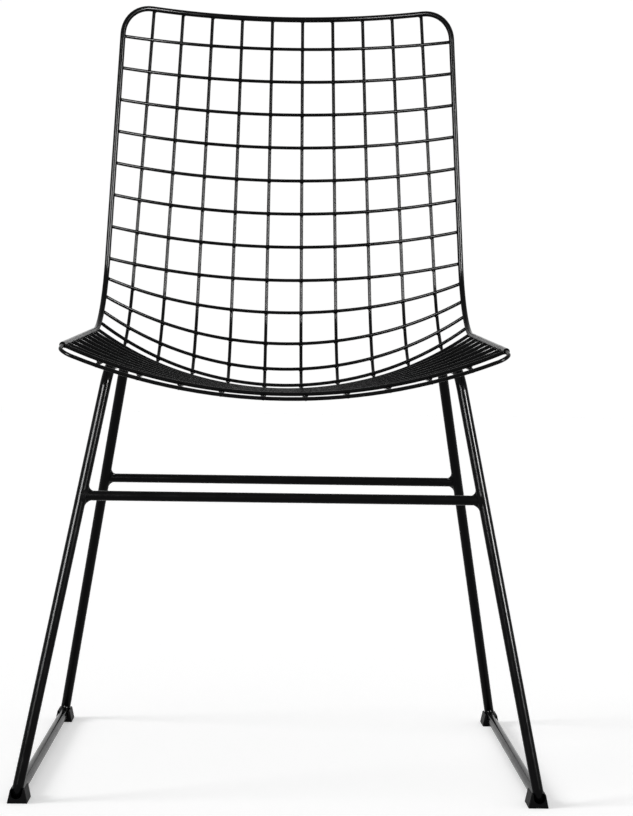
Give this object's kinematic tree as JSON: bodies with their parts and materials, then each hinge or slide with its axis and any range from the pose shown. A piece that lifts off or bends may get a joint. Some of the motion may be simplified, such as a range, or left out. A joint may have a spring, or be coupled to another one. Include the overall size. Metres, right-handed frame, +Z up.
{
  "type": "wire mesh chair",
  "caption": "Armless chair with a bucket shell of welded wire mesh in a rod rim, on two leaning side frames of bent rod tied by bars, with clip-on floor glides.",
  "frame": {"origin": "on the floor, under the middle of the chair's bounding box", "axes": "+X to the right of someone who faces the chair, -Y towards that person, which is the chair's front, +Z up"},
  "size_m": [0.535, 0.485, 0.8582],
  "materials": {
    "frame_coating": "satin",
    "mesh_coating": "satin",
    "glide_plastic": "matte"
  },
  "bodies": {
    "root": {"rim_rod": "frame_coating", "front_edge_wire": "mesh_coating", "cross_wire_01": "mesh_coating", "cross_wire_02": "mesh_coating", "cross_wire_03": "mesh_coating", "cross_wire_04": "mesh_coating", "cross_wire_05": "mesh_coating", "cross_wire_06": "mesh_coating", "cross_wire_07": "mesh_coating", "cross_wire_08": "mesh_coating", "cross_wire_09": "mesh_coating", "cross_wire_10": "mesh_coating", "cross_wire_11": "mesh_coating", "cross_wire_12": "mesh_coating", "cross_wire_13": "mesh_coating", "cross_wire_14": "mesh_coating", "cross_wire_15": "mesh_coating", "cross_wire_16": "mesh_coating", "cross_wire_17": "mesh_coating", "cross_wire_18": "mesh_coating", "cross_wire_19": "mesh_coating", "cross_wire_20": "mesh_coating", "cross_wire_21": "mesh_coating", "long_wire_01": "mesh_coating", "long_wire_02": "mesh_coating", "long_wire_03": "mesh_coating", "long_wire_04": "mesh_coating", "long_wire_05": "mesh_coating", "long_wire_06": "mesh_coating", "long_wire_07": "mesh_coating", "long_wire_08": "mesh_coating", "long_wire_09": "mesh_coating", "long_wire_10": "mesh_coating", "left_side_frame": "frame_coating", "right_side_frame": "frame_coating", "front_stretcher": "frame_coating", "rear_stretcher": "frame_coating", "front_stretcher_welds": "frame_coating", "rear_stretcher_welds": "frame_coating", "front_left_glide": "glide_plastic", "front_right_glide": "glide_plastic", "rear_left_glide": "glide_plastic", "rear_right_glide": "glide_plastic"}
  },
  "joints": []
}
